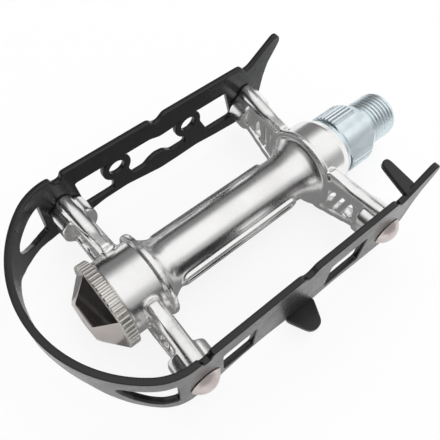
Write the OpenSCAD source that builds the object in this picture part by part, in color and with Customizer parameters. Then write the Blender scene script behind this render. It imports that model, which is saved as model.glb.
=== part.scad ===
// Quill pedal for a road bicycle.
// The spindle lies along X, with the crank thread pointing to +X, and the crank shoulder is at the origin.
// +Z is the upper side of the cage and +Y is the front side.
// Stations are measured along the spindle, towards the crank, from a plane just inside the dust cap's rim.

/* [Spindle] */
// Major diameter of the crank thread
thread_d = 14.29; // [12:0.01:16]
// Length of the crank thread from the shoulder to the end of the point
thread_len = 12; // [9:0.1:16]
// Length of the thread that has its full diameter
thread_full_len = 8.6; // [6:0.1:13]
// Diameter of the spindle collar
collar_d = 19.2; // [17:0.1:24]
// Length of the spindle collar
collar_len = 11.3; // [8:0.1:16]
// Width across the two wrench flats
flat_af = 15; // [13:0.1:17]
// Turn of the wrench flats about the spindle
flat_turn = 35.5; // [0:0.5:90]
// Number of serrations round the collar
collar_teeth = 42; // [20:1:60]
// Depth of the collar serrations
collar_tooth_depth = 0.35; // [0.1:0.05:0.6]
// Diameter of the spindle's end thread
end_thread_d = 7; // [6:0.1:8]
// Diameter of the spindle's shaft in the barrel
shaft_d = 8.6; // [7.5:0.1:9.6]
// Diameter of the land that runs in the seal
land_d = 14; // [12:0.1:14.6]

/* [Body] */
// Length of the body casting along the spindle
body_len = 77.9; // [70:0.1:90]
// Diameter of the barrel
barrel_d = 14.6; // [13.6:0.1:17]
// Diameter of the outer bearing housing
outer_housing_d = 22; // [21:0.1:26]
// Length of the outer bearing housing
outer_housing_len = 12.3; // [11:0.1:15]
// Diameter of the inner bearing housing
inner_housing_d = 22.6; // [21:0.1:26]
// Length of the inner bearing housing with its taper
inner_housing_len = 12; // [11:0.1:15]
// Diameter of the flange rings at the arm roots
root_ring_d = 24.8; // [23:0.1:28]
// Thickness of the flange rings
root_ring_t = 1.5; // [1:0.1:2.5]
// Height of the side rib above the spindle's plane
rib_h = 4.4; // [2:0.1:6]
// Reach of the side rib from the spindle's axis
rib_reach = 8.1; // [7.6:0.1:9.5]
// Width of the groove along the side rib
groove_h = 1.6; // [0.8:0.1:2.4]

/* [Arms] */
// Distance of the outer arms from the body's outer face
arm_setback = 5.3; // [4.6:0.1:8]
// Distance between the outer and inner arms, at the side plates
arm_span = 64.7; // [58:0.1:78]
// Width of the arm's top rail
rail_w = 4.7; // [3.5:0.1:6]
// Height of the rail top over the spindle's axis, at the root
rail_z_root = 10; // [9:0.1:12]
// Height of the rail top over the spindle's axis, at the side plate
rail_z_plate = 8.8; // [8:0.1:10]
// Diameter of the arm's end boss
boss_d = 11.6; // [9:0.1:12]
// Length of the arm's end boss
boss_len = 6.2; // [4:0.1:8]
// Height of the rivet axis over the spindle's axis
rivet_z = 1; // [0:0.1:2]
// Thickness of the arm's web
web_t = 2.6; // [1.6:0.1:3.6]

/* [Cage] */
// Distance between the inner faces of the side plates
cage_inner_w = 58.4; // [54:0.2:66]
// Thickness of the cage strip
strip_t = 1.8; // [1.4:0.1:2.4]
// Radius of the cage's corners, outside
corner_r = 16; // [12:0.5:20]
// Radius of the loop's end, outside
loop_r = 35; // [30:0.5:45]
// Station of the corner centres
corner_x = 4.7; // [2:0.1:7]
// Height of the cage's top edge
cage_top_z = 16.4; // [14:0.1:18]
// Diameter of the toe clip holes
clip_hole_d = 5; // [4:0.1:6]
// Distance between the toe clip holes
clip_hole_pitch = 25.2; // [20:0.1:30]
// Height of the toe clip holes
clip_hole_z = 6.3; // [4:0.1:8]
// Reach of the flip tab from the rear plate
tab_reach = 6.7; // [4:0.1:10]
// Length of the strap finger
finger_len = 10.2; // [6:0.1:14]
// Width of the strap finger at its free end
finger_w = 2.8; // [2:0.1:4]

/* [Rivets] */
// Diameter of the rivet heads
rivet_head_d = 8.8; // [7:0.1:10]
// Height of the rivet heads
rivet_head_h = 2.7; // [1.5:0.1:3.5]
// Diameter of the rivet shanks
rivet_shank_d = 4; // [3:0.1:5]
// Length of the rivet shanks in the boss
rivet_grip = 5; // [3:0.1:6]

/* [Bearings] */
// Diameter of the bearing balls
ball_d = 3.175; // [2.5:0.005:3.4]
// Number of balls in each bearing
ball_count = 11; // [8:1:11]
// Diameter of the circle through the ball centres
ball_pcd = 12.4; // [12:0.1:12.8]
// Diameter of the bearing cups
cup_d = 18; // [17.6:0.1:18.6]
// Length of the bearing cups
cup_len = 6.1; // [5.4:0.1:6.6]
// Across flats size of the lock nut
nut_af = 10; // [9:0.1:11]

/* [Dust cap] */
// Diameter of the cap's serrated ring
cap_d = 25; // [24:0.1:28]
// Length of the serrated ring
cap_ring_len = 3.2; // [2.4:0.1:5]
// Number of serrations on the ring
cap_teeth = 52; // [30:1:70]
// Depth of the ring's serrations
cap_tooth_depth = 0.45; // [0.2:0.05:0.8]
// Number of facets on the cap's nose
cap_facets = 5; // [5:1:8]
// Corner diameter of the nose at the ring
nose_base_d = 24.6; // [20:0.1:24.8]
// Corner diameter of the nose at its end
nose_end_d = 14; // [10:0.1:16]
// Length of the nose's facets
nose_len = 4.6; // [3:0.1:8]
// Turn of the nose's facets about the spindle
nose_turn = 65.8; // [0:0.1:72]

/* [Hidden] */
$fn = 96;
fit = 0.03;
run_fit = 0.05;
gap = 0.7;
over = 1;
edge = 0.4;

// Stations
cap_x = -1.4;
body_out_x = cap_x + cap_ring_len;
body_in_x = body_out_x + body_len;
seal_t = 1;
seal_in_x = body_in_x + seal_t;
collar_out_x = seal_in_x + gap;
shoulder_x = collar_out_x + collar_len;
arm_out_x = body_out_x + arm_setback;
arm_in_x = arm_out_x + arm_span;

// Spindle details
thread_r = thread_d / 2;
collar_r = collar_d / 2;
land_r = land_d / 2;
shaft_r = shaft_d / 2;
end_thread_r = end_thread_d / 2;
collar_cone_len = 3;
collar_nose_r = thread_r + 0.85;
thread_tip_r = thread_r - 3.1;
thread_edge_r = thread_r - 1.5;
thread_tip_len = 1.4;
centre_drill_r = 1.2;
centre_drill_depth = 1.6;
end_chamfer = 0.5;

// Bearings
ball_r = ball_d / 2;
pitch_r = ball_pcd / 2;
race_r = ball_r + run_fit;
cup_r = cup_d / 2;
cup_hole_r = pitch_r - 0.8;
cup_mouth = 2.3;
spigot_len = 3;
cup_out_x = body_out_x + spigot_len + 0.2;
ball_out_x = cup_out_x + cup_mouth;
cup_in_x = body_in_x - 3.1;
ball_in_x = cup_in_x - cup_mouth;
cone_r = pitch_r - 0.3;
cone_small_r = pitch_r - race_r;
cone_x = ball_out_x - 4.2;
cone_len = 5.4;
shaft_start_x = cone_x + cone_len + 0.5;
washer_t = 1;
washer_x = cone_x - washer_t;
washer_r = 5.4;
nut_t = 3.5;
nut_x = washer_x - nut_t;
nut_r = nut_af / sqrt(3);
nut_edge_r = nut_af / 2 + 0.3;
spindle_end_x = nut_x - 1.3;
land_len = 4;
seal_spigot_len = 2.6;
seal_flange_r = cup_r + 0.1;
seal_hole_r = land_r + 2 * run_fit;

// Body details
bore_r = cup_r;
outer_housing_r = outer_housing_d / 2;
inner_housing_r = inner_housing_d / 2;
inner_housing_x = body_in_x - inner_housing_len;
outer_flare_x = body_out_x + outer_housing_len;
barrel_r = barrel_d / 2;
root_ring_r = root_ring_d / 2;
mouth_r = 9.75;
taper_len = 3.2;
rib_start_x = outer_flare_x + 6.5;
rib_end_x = inner_housing_x - 10.3;
rib_end_r = rib_h / 2;
groove_r = groove_h / 2;
groove_floor = barrel_r + 0.2;

// Shape of the flares: distance from the housing, share of the step down to the barrel
flare = [[0, 1], [0.3, 0.82], [1.5, 0.52], [3.1, 0.25], [4.8, 0.08], [7, 0]];

// Arm details
plate_in_y = cage_inner_w / 2;
plate_out_y = plate_in_y + strip_t;
rail_r = rail_w / 2;
rail_root_y = 9.6;
rail_len = plate_in_y - rail_root_y;
rail_tilt = atan2(rail_z_plate - rail_z_root, rail_len);
rail_depth = 2.2;
web_shift = 0.35;
splay_out = 2.9;
splay_in = 4.6;
boss_r = boss_d / 2;
lower_rail_t = 2;
lower_rail_w = 5.2;
dimple_r = 1.2;
rivet_r = rivet_shank_d / 2;

// Web outline in [distance inward from the side plate, height]
web_outline = [[-over, 6.5], [19.5, 8.4], [21.5, 4], [21.5, -4], [17.6, -8.2], [11.2, -6.3], [5, -4], [-over, -3.4]];
web_triangle_root = [[18.3, -4.3], [18.6, -1.5], [15.2, 2.7], [16.2, -2.6]];
web_slot = [[15.1, -5.2], [13.9, -4.6], [12.1, 2.4], [13.2, 2.2]];
web_triangle_end = [[11.9, -3.8], [9.9, 2.8], [8.8, -0.4], [8.8, -3.6]];
lower_rail_path = [[20.5, -9.3], [17.6, -8.4], [11.2, -6.4], [4.6, -4.1], [-over, -4.1]];

// Plan of the loop
corner_y = plate_out_y - corner_r;
loop_x = corner_x + sqrt(pow(loop_r - corner_r, 2) - corner_y * corner_y);
loop_far_x = loop_x - loop_r - over;

// Cage details: outline in [station, height], from the loop to the crank side
cage_bottom = [[loop_far_x, 9.6], [-16.6, 9.3], [-14, 7], [-12, 3.5], [-9, 0], [-6, -2.5], [-3, -4.8], [0, -6.4],
    [3, -6.7], [10, -6.3], [14, -5.3], [19, -4.2], [27, -4], [33, -5], [39, -6], [46, -5.8], [53, -5.4], [60, -6.2]];
horn_outline = [[71, -7], [72.8, -7.2], [75.5, -5.4], [77.6, -2.2], [78.8, 2], [79.6, 8], [80.9, 12.6],
    [83, 16], [84.5, 18.6], [84.5, 20.2], [83.6, 21.3], [82.3, 21.4], [73.5, 14.7], [71.7, 14.2]];
top_end = 69.3;
top_notches = [[41.6, 0], [40.4, -1.2], [39.4, -1.8], [38.2, -1.8], [36.6, 0], [9, 0], [8.4, -2], [6.2, -2], [5.8, 0]];
strip_z0 = -cage_top_z;
strip_h = 3 * cage_top_z;
slot_outline = [[0.2, 10.8], [0.2, -1.5], [-3, -0.9], [-5.6, 0.8], [-8, 3.6], [-9.8, 7], [-10.4, 9.5], [-9.6, 10.8]];
window_outer = [[11.6, 10], [13, -2], [22.6, -2], [23, 10]];
window_centre = [[26, 9.6], [36, 9.6], [39.5, 8.5], [43, 8.7], [49, 9.6], [48.4, -1.1], [43.4, -1.1], [40.8, 1],
    [38, 1.5], [35.5, 0.6], [33.7, -0.8], [29.6, -0.8]];
window_inner = [[52, 9.8], [64.2, 9.8], [67, -2], [57.5, -2]];
rear_window_outer = [[12.3, 9], [13, -2.4], [22.5, -2.4], [22.5, 9]];
rear_window_inner = [[47.9, 9], [47.9, -2.4], [61, -2.4], [61, 9]];
clip_hole_x = 24.6;
clip_ring_r = 4.7;
clip_hole_r = clip_hole_d / 2;
tab_x = 39.9;
tab_w = 11;
tab_z = -6;
tab_tip_r = 1.5;
finger_x = 75.9;
finger_root_w = 4.6;
finger_lean = 1.8;
finger_z = 16.4;

// Moves a shape drawn by stations so that the crank shoulder is at the origin
module from_shoulder() {
    translate([-shoulder_x, 0, 0]) children();
}

// Turns an outline of [radius, station] about the spindle
module spun(outline) {
    rotate([0, 90, 0]) rotate_extrude() polygon(outline);
}

// A round bar along the spindle
module bar(x, length, r) {
    translate([x, 0, 0]) rotate([0, 90, 0]) cylinder(h = length, r = r);
}

// A serrated bar along the spindle
module serrated_bar(x, length, r, teeth, depth) {
    step = 360 / teeth;
    outline = [for (i = [0 : teeth - 1]) for (p = [[0, r - depth], [0.22, r], [0.62, r], [0.84, r - depth]])
        [p[1] * cos((i + p[0]) * step), p[1] * sin((i + p[0]) * step)]];
    translate([x, 0, 0]) rotate([0, 90, 0]) linear_extrude(length) polygon(outline);
}

// A flat shape drawn in [station, height], standing from y0 to y1
module upright(outline, y0, y1) {
    translate([0, y1, 0]) rotate([90, 0, 0]) linear_extrude(y1 - y0) polygon(outline);
}

// Both sides of the pedal
module both_sides() {
    children();
    mirror([0, 1, 0]) children();
}

// Casting

module housing_blank() {
    step_out = outer_housing_r - barrel_r;
    step_in = inner_housing_r - barrel_r;
    spun(concat(
        [[0, body_out_x], [outer_housing_r - edge, body_out_x], [outer_housing_r, body_out_x + edge]],
        [for (p = flare) [barrel_r + p[1] * step_out, outer_flare_x + p[0]]],
        [for (i = [len(flare) - 1 : -1 : 0]) [barrel_r + flare[i][1] * step_in, inner_housing_x - flare[i][0]]],
        [[inner_housing_r, body_in_x - taper_len], [mouth_r, body_in_x - edge / 2],
            [mouth_r - edge / 2, body_in_x], [0, body_in_x]]));
}

module root_ring(x) {
    bar(x, root_ring_t, root_ring_r);
}

module side_rib() {
    difference() {
        union() {
            translate([rib_start_x, 0, -rib_end_r]) cube([rib_end_x - rib_start_x, rib_reach, rib_h]);
            for (x = [rib_start_x, rib_end_x])
                translate([x, 0, 0]) rotate([-90, 0, 0]) cylinder(h = rib_reach, r = rib_end_r);
        }
        translate([rib_start_x, groove_floor, -groove_r]) cube([rib_end_x - rib_start_x, over, groove_h]);
        for (x = [rib_start_x, rib_end_x])
            translate([x, groove_floor, 0]) rotate([-90, 0, 0]) cylinder(h = over, r = groove_r);
    }
}

// One arm, reaching from the side plate inwards along -y
module arm() {
    difference() {
        union() {
            translate([0, 0, rail_z_plate - rail_r]) rotate([-rail_tilt, 0, 0]) top_rail();
            translate([-web_t / 2 - web_shift, 0, 0]) web_slab(web_outline, web_t);
            for (i = [0 : len(lower_rail_path) - 2]) lower_rail(lower_rail_path[i], lower_rail_path[i + 1]);
            translate([0, over, rivet_z]) rotate([90, 0, 0]) cylinder(h = boss_len + over, r = boss_r);
            translate([0, -boss_len, rivet_z]) rotate([90, 0, 0]) cylinder(h = edge, r1 = boss_r, r2 = boss_r - edge);
        }
        for (opening = [web_triangle_root, web_slot, web_triangle_end])
            translate([-web_t - web_shift, 0, 0]) web_slab(opening, 2 * web_t);
    }
}

module top_rail() {
    translate([0, over, 0]) rotate([90, 0, 0]) cylinder(h = rail_len + over, r = rail_r);
    translate([0, -rail_len, 0]) sphere(r = rail_r);
    translate([-rail_r, -rail_len, -rail_depth]) cube([rail_w, rail_len + over, rail_depth]);
}

module web_slab(outline, thickness) {
    rotate([90, 0, 90]) linear_extrude(thickness) polygon([for (p = outline) [-p[0], p[1]]]);
}

module lower_rail(a, b) {
    translate([-lower_rail_w / 2, 0, 0])
        web_slab([a, b, [b[0], b[1] + lower_rail_t], [a[0], a[1] + lower_rail_t]], lower_rail_w);
}

module arms() {
    both_sides() intersection() {
        union() {
            translate([arm_out_x, plate_in_y, 0]) rotate([0, 0, splay_out]) arm();
            translate([arm_in_x, plate_in_y, 0]) rotate([0, 0, -splay_in]) arm();
        }
        translate([body_out_x + edge, 0, -cage_top_z])
            cube([body_len - 2 * edge, plate_in_y, 2 * cage_top_z]);
    }
}

module pedal_body() {
    color("silver") from_shoulder() difference() {
        union() {
            housing_blank();
            root_ring(outer_flare_x - root_ring_t);
            root_ring(inner_housing_x);
            both_sides() side_rib();
            arms();
        }
        bar(body_out_x - over, body_len + 2 * over, cup_hole_r);
        bar(body_out_x - over, cup_out_x + cup_len - body_out_x + over, bore_r);
        bar(cup_in_x - cup_len, body_in_x - cup_in_x + cup_len + over, bore_r);
        both_sides() for (x = [arm_out_x, arm_in_x])
            translate([x, plate_in_y - rivet_grip, rivet_z]) rotate([-90, 0, 0])
                cylinder(h = rivet_grip + over, r = rivet_r + fit);
    }
}

// Cage

// A part of the strip bent to an arc about [cx, cy]
module bent_strip(cx, cy, r, from_angle, to_angle) {
    translate([cx, cy, strip_z0]) rotate([0, 0, from_angle]) rotate_extrude(angle = to_angle - from_angle)
        translate([r - strip_t, 0]) square([strip_t, strip_h]);
}

// The strip in plan: two side plates, two corners and the loop's end, at full height
module strip_wall() {
    join_angle = atan2(corner_y, corner_x - loop_x);
    both_sides() {
        translate([corner_x, plate_in_y, strip_z0]) cube([arm_in_x + boss_d, strip_t, strip_h]);
        bent_strip(corner_x, corner_y, corner_r, 90, join_angle);
    }
    bent_strip(loop_x, 0, loop_r, join_angle, 360 - join_angle);
}

module clip_rings(r, y0, y1) {
    for (x = [clip_hole_x, clip_hole_x + clip_hole_pitch])
        translate([x, y0, clip_hole_z]) rotate([-90, 0, 0]) cylinder(h = y1 - y0, r = r);
}

module front_windows(y0, y1) {
    difference() {
        union() {
            upright(window_outer, y0, y1);
            upright(window_centre, y0, y1);
            upright(window_inner, y0, y1);
        }
        clip_rings(clip_ring_r, y0 - over, y1 + over);
    }
    clip_rings(clip_hole_r, y0, y1);
}

module rivet_hole(x, y0, y1) {
    translate([x, y0, rivet_z]) rotate([-90, 0, 0]) cylinder(h = y1 - y0, r = rivet_r + fit);
}

module flip_tab() {
    y0 = -plate_out_y;
    translate([0, 0, tab_z - strip_t]) linear_extrude(strip_t)
        polygon([[tab_x - tab_w / 2, y0], [tab_x + tab_w / 2, y0],
            [tab_x + tab_tip_r, y0 - tab_reach + tab_tip_r], [tab_x - tab_tip_r, y0 - tab_reach + tab_tip_r]]);
    translate([tab_x, y0 - tab_reach + tab_tip_r, tab_z - strip_t]) cylinder(h = strip_t, r = tab_tip_r);
    intersection() {
        translate([tab_x - tab_w / 2, y0, tab_z]) rotate([0, 90, 0]) cylinder(h = tab_w, r = strip_t);
        translate([tab_x - tab_w / 2, y0, tab_z - strip_t]) cube([tab_w, strip_t, strip_t]);
    }
    translate([tab_x - tab_w / 2, y0, tab_z]) cube([tab_w, strip_t, over]);
}

module strap_finger() {
    y0 = -plate_in_y - strip_t;
    y1 = -plate_in_y + finger_len - finger_w / 2;
    end_x = finger_x + finger_lean;
    translate([0, 0, finger_z - strip_t]) linear_extrude(strip_t)
        polygon([[finger_x - finger_root_w / 2, y0], [finger_x + finger_root_w / 2, y0],
            [end_x + finger_w / 2, y1], [end_x - finger_w / 2, y1]]);
    translate([end_x, y1, finger_z - strip_t]) cylinder(h = strip_t, r = finger_w / 2);
}

module cage() {
    outline = concat(cage_bottom, horn_outline, [[top_end + 0.9, cage_top_z - 0.3], [top_end, cage_top_z]],
        [for (p = top_notches) [p[0], cage_top_z + p[1]]], [[loop_far_x, cage_top_z]]);
    far = plate_out_y + over;
    near = plate_in_y - over;
    color("dimgray") from_shoulder() {
        difference() {
            intersection() {
                strip_wall();
                upright(outline, -far, far);
            }
            upright(slot_outline, -far, far);
            front_windows(near, far);
            upright(rear_window_outer, -far, -near);
            upright(rear_window_inner, -far, -near);
            for (x = [arm_out_x, arm_in_x]) rivet_hole(x, -far, far);
        }
        flip_tab();
        strap_finger();
    }
}

// One domed rivet through a side plate into an arm's boss
module rivet(x) {
    dome_r = (pow(rivet_head_d / 2, 2) + pow(rivet_head_h, 2)) / (2 * rivet_head_h);
    color("gainsboro") from_shoulder() translate([x, plate_out_y, rivet_z]) rotate([-90, 0, 0]) {
        intersection() {
            translate([0, 0, rivet_head_h - dome_r]) sphere(r = dome_r);
            cylinder(h = rivet_head_h + over, r = rivet_head_d);
        }
        translate([0, 0, -strip_t - rivet_grip]) cylinder(h = strip_t + rivet_grip, r = rivet_r);
    }
}

module cage_rivet_outer_front() {
    rivet(arm_out_x);
}

module cage_rivet_outer_rear() {
    mirror([0, 1, 0]) rivet(arm_out_x);
}

module cage_rivet_inner_front() {
    rivet(arm_in_x);
}

module cage_rivet_inner_rear() {
    mirror([0, 1, 0]) rivet(arm_in_x);
}

// Spindle

module spindle_core() {
    cone_out_x = ball_in_x + race_r;
    difference() {
        spun([[0, spindle_end_x], [end_thread_r - end_chamfer, spindle_end_x], [end_thread_r, spindle_end_x + end_chamfer],
            [end_thread_r, shaft_start_x], [shaft_r, shaft_start_x + end_chamfer], [shaft_r, ball_in_x - 1],
            [cone_small_r, ball_in_x - 0.6], [cone_small_r, ball_in_x], [cone_r, ball_in_x],
            [cone_r, collar_out_x - land_len - 0.6], [land_r, collar_out_x - land_len], [land_r, collar_out_x + over],
            [collar_nose_r, collar_out_x + over], [collar_nose_r, shoulder_x], [thread_r, shoulder_x],
            [thread_r, shoulder_x + thread_full_len], [thread_edge_r, shoulder_x + thread_len - thread_tip_len],
            [thread_tip_r, shoulder_x + thread_len], [0, shoulder_x + thread_len]]);
        rotate([0, 90, 0]) rotate_extrude() translate([pitch_r, ball_in_x]) circle(r = race_r);
        bar(shoulder_x + thread_len - centre_drill_depth, centre_drill_depth + over, centre_drill_r);
    }
}

module collar() {
    intersection() {
        serrated_bar(collar_out_x, collar_len, collar_r, collar_teeth, collar_tooth_depth);
        spun([[0, collar_out_x], [collar_r - edge, collar_out_x], [collar_r, collar_out_x + edge],
            [collar_r, shoulder_x - collar_cone_len], [collar_nose_r, shoulder_x], [0, shoulder_x]]);
        rotate([flat_turn, 0, 0]) translate([collar_out_x, -collar_d, -flat_af / 2])
            cube([collar_len, 2 * collar_d, flat_af]);
    }
}

module spindle() {
    color("lightsteelblue") from_shoulder() {
        spindle_core();
        collar();
    }
}

// Bearings

// A cup with its mouth at station x, opening outboard
module cup(x) {
    rotate([0, 90, 0]) rotate_extrude() difference() {
        polygon([[cup_hole_r, x + cup_mouth], [pitch_r, x + cup_mouth], [pitch_r + race_r, x + cup_mouth],
            [pitch_r + race_r, x], [cup_r - edge, x], [cup_r - fit, x + edge], [cup_r - fit, x + cup_len],
            [cup_hole_r, x + cup_len]]);
        translate([pitch_r, x + cup_mouth]) circle(r = race_r);
    }
}

module outer_cup() {
    color("gray") from_shoulder() cup(cup_out_x);
}

module inner_cup() {
    color("gray") from_shoulder() translate([cup_in_x, 0, 0]) mirror([1, 0, 0]) cup(0);
}

module ball_ring(x) {
    for (i = [0 : ball_count - 1])
        rotate([i * 360 / ball_count, 0, 0]) translate([x, 0, pitch_r]) sphere(r = ball_r);
}

module outer_balls() {
    color("white") from_shoulder() ball_ring(ball_out_x);
}

module inner_balls() {
    color("white") from_shoulder() ball_ring(ball_in_x);
}

module outer_cone() {
    color("gray") from_shoulder() rotate([0, 90, 0]) rotate_extrude() difference() {
        polygon([[end_thread_r + fit, cone_x], [cone_r, cone_x], [cone_r, ball_out_x], [cone_small_r, ball_out_x],
            [cone_small_r, cone_x + cone_len], [end_thread_r + fit, cone_x + cone_len]]);
        translate([pitch_r, ball_out_x]) circle(r = race_r);
    }
}

module lock_washer() {
    color("gray") from_shoulder() difference() {
        bar(washer_x, washer_t, washer_r);
        bar(washer_x - over, washer_t + 2 * over, end_thread_r + fit);
    }
}

module lock_nut() {
    color("gray") from_shoulder() difference() {
        intersection() {
            translate([nut_x, 0, 0]) rotate([0, 90, 0]) cylinder(h = nut_t, r = nut_r, $fn = 6);
            spun([[0, nut_x], [nut_edge_r - 0.1, nut_x], [nut_r, nut_x + edge], [nut_r, nut_x + nut_t - edge],
                [nut_edge_r - 0.1, nut_x + nut_t], [0, nut_x + nut_t]]);
        }
        bar(nut_x - over, nut_t + 2 * over, end_thread_r + fit);
    }
}

// Covers

module dust_cap() {
    ring_r = cap_d / 2;
    root_r = ring_r - cap_tooth_depth;
    hollow_r = ring_r - 4.9;
    hollow_end_r = nose_end_d / 2 - 2.2;
    hollow_depth = nose_len - 0.9;
    hollow_out_x = body_out_x + spigot_len + over;
    nose_chamfer = 0.8;
    nose_tip_r = nose_end_d / 2 - 1.2;
    color("lightgray") from_shoulder() difference() {
        union() {
            intersection() {
                serrated_bar(cap_x, cap_ring_len, ring_r, cap_teeth, cap_tooth_depth);
                spun([[0, cap_x], [root_r, cap_x], [ring_r, cap_x + edge], [ring_r, body_out_x - edge],
                    [ring_r - edge, body_out_x], [0, body_out_x]]);
            }
            bar(body_out_x - over, spigot_len + over, bore_r - fit);
            translate([cap_x, 0, 0]) rotate([nose_turn, 0, 0]) rotate([0, -90, 0]) {
                cylinder(h = nose_len, r1 = nose_base_d / 2, r2 = nose_end_d / 2, $fn = cap_facets);
                translate([0, 0, nose_len])
                    cylinder(h = nose_chamfer, r1 = nose_end_d / 2, r2 = nose_tip_r, $fn = cap_facets);
            }
        }
        spun([[0, cap_x - hollow_depth], [hollow_end_r, cap_x - hollow_depth], [hollow_r, cap_x],
            [hollow_r, hollow_out_x], [0, hollow_out_x]]);
    }
}

module dust_seal() {
    color("slategray") from_shoulder() difference() {
        union() {
            bar(body_in_x, seal_t, seal_flange_r);
            bar(body_in_x - seal_spigot_len, seal_spigot_len + edge, bore_r - fit);
        }
        bar(body_in_x - seal_spigot_len - over, seal_spigot_len + seal_t + 2 * over, seal_hole_r);
    }
}

pedal_body();
cage();
cage_rivet_outer_front();
cage_rivet_outer_rear();
cage_rivet_inner_front();
cage_rivet_inner_rear();
spindle();
outer_cup();
inner_cup();
outer_balls();
inner_balls();
outer_cone();
lock_washer();
lock_nut();
dust_cap();
dust_seal();
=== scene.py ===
"""Quill pedal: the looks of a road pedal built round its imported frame.

Each sub-assembly is a class that holds its sizes, builds its meshes and gives them their finish.
Sizes are in millimetres. Stations run along the spindle from just inside the dust cap's rim, and the
crank shoulder, at station SHOULDER, is the frame's origin.
"""

import logging
import math
from dataclasses import dataclass, field
from enum import Enum
from typing import Callable

import bmesh
import bpy
from mathutils import Matrix, Vector
from mathutils.geometry import delaunay_2d_cdt


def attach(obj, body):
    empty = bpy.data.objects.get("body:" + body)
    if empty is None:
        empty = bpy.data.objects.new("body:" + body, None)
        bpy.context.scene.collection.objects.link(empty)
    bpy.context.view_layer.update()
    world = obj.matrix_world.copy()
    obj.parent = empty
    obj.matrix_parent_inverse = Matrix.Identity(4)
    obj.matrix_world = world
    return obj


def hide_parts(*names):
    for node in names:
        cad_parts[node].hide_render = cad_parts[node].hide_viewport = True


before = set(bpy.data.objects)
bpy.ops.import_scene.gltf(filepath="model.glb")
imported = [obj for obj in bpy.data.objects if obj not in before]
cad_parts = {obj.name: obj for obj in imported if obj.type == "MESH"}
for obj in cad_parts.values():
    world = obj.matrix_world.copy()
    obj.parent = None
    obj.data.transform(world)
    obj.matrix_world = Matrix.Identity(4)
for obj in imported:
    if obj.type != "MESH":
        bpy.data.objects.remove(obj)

LOG = logging.getLogger("quill_pedal")
MM = 0.001
SHOULDER = 92.7
Point = tuple[float, float]
Colour = tuple[float, float, float]
Place = tuple[float, float, float]
BUILT: dict[str, bpy.types.Material] = {}


class Side(Enum):
    """The two side plates of the cage."""

    FRONT = 1
    REAR = -1


class Grain(Enum):
    """The way a finish's fine marks run."""

    EVEN = "even"
    ROUND_SPINDLE = "round_spindle"


# Outlines


def arc(cx: float, cy: float, r: float, start: float, end: float, steps: int) -> list[Point]:
    """Points on a circle's arc.

    Args:
        cx: Centre's first coordinate.
        cy: Centre's second coordinate.
        r: Radius.
        start: First angle in degrees.
        end: Last angle in degrees.
        steps: Number of steps between the two.

    Returns:
        The points, both ends included.
    """
    turn = [math.radians(start + (end - start) * i / steps) for i in range(steps + 1)]
    return [(cx + r * math.cos(a), cy + r * math.sin(a)) for a in turn]


def rounded(outline: list[Point], radius: float, steps: int = 4) -> list[Point]:
    """Rounds the corners of a closed outline.

    Args:
        outline: The corners in order.
        radius: How far from each corner the rounding starts, at most.
        steps: Steps in each rounded corner.

    Returns:
        The rounded outline.
    """
    done: list[Point] = []
    count = len(outline)
    for i, here in enumerate(outline):
        corner = Vector(here)
        back, ahead = Vector(outline[i - 1]) - corner, Vector(outline[(i + 1) % count]) - corner
        reach_back = min(radius, back.length * 0.48)
        reach_ahead = min(radius, ahead.length * 0.48)
        a, b = corner + back.normalized() * reach_back, corner + ahead.normalized() * reach_ahead
        for k in range(steps + 1):
            t = k / steps
            p = a * (1 - t) ** 2 + corner * 2 * t * (1 - t) + b * t * t
            done.append((p.x, p.y))
    return done


def dense(outline: list[Point], step: float, closed: bool = True) -> list[Point]:
    """Adds points along an outline so that none are further apart than a step.

    Args:
        outline: The outline.
        step: The longest distance left between two points.
        closed: Whether its last point joins its first.

    Returns:
        The outline with the points added.
    """
    done: list[Point] = []
    for a, b in zip(outline, outline[1:] + outline[:1] if closed else outline[1:]):
        parts = max(1, math.ceil(math.dist(a, b) / step))
        step_u, step_v = (b[0] - a[0]) / parts, (b[1] - a[1]) / parts
        done.extend((a[0] + step_u * k, a[1] + step_v * k) for k in range(parts))
    return done if closed else [*done, outline[-1]]


def clear_of_rings(outline: list[Point], rings: list[Point], radius: float) -> list[Point]:
    """Pushes the points of an outline that lie in a ring out to its edge.

    Args:
        outline: The closed outline.
        rings: Centres of the rings.
        radius: The rings' radius.

    Returns:
        The outline with a hollow where each ring stands.
    """
    done: list[Point] = []
    for p in dense(outline, 0.3):
        for ring in rings:
            away = Vector(p) - Vector(ring)
            if away.length < radius:
                p = tuple(Vector(ring) + away.normalized() * radius)
        done.append(p)
    return done


def evened(outline: list[Point], step: float, rounds: int) -> list[Point]:
    """Spaces a closed outline's points evenly and softens its corners.

    Args:
        outline: The closed outline.
        step: Distance between points.
        rounds: How often each point moves half way to the middle of its neighbours.

    Returns:
        The evened outline.
    """
    points = [Vector(p) for p in outline]
    lengths = [(points[(i + 1) % len(points)] - p).length for i, p in enumerate(points)]
    count = max(12, round(sum(lengths) / step))
    pitch, done, gone, i = sum(lengths) / count, [], 0.0, 0
    for k in range(count):
        while k * pitch > gone + lengths[i] and i < len(points) - 1:
            gone += lengths[i]
            i += 1
        share = (k * pitch - gone) / max(lengths[i], 1e-9)
        done.append(points[i].lerp(points[(i + 1) % len(points)], min(1.0, share)))
    for _ in range(rounds):
        done = [(p + (done[k - 1] + done[(k + 1) % count]) / 2) / 2 for k, p in enumerate(done)]
    return [(p.x, p.y) for p in done]


def area(outline: list[Point]) -> float:
    """Gives a closed outline's area, positive when it runs counter-clockwise."""
    return sum(a[0] * b[1] - b[0] * a[1] for a, b in zip(outline, outline[1:] + outline[:1])) / 2


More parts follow.
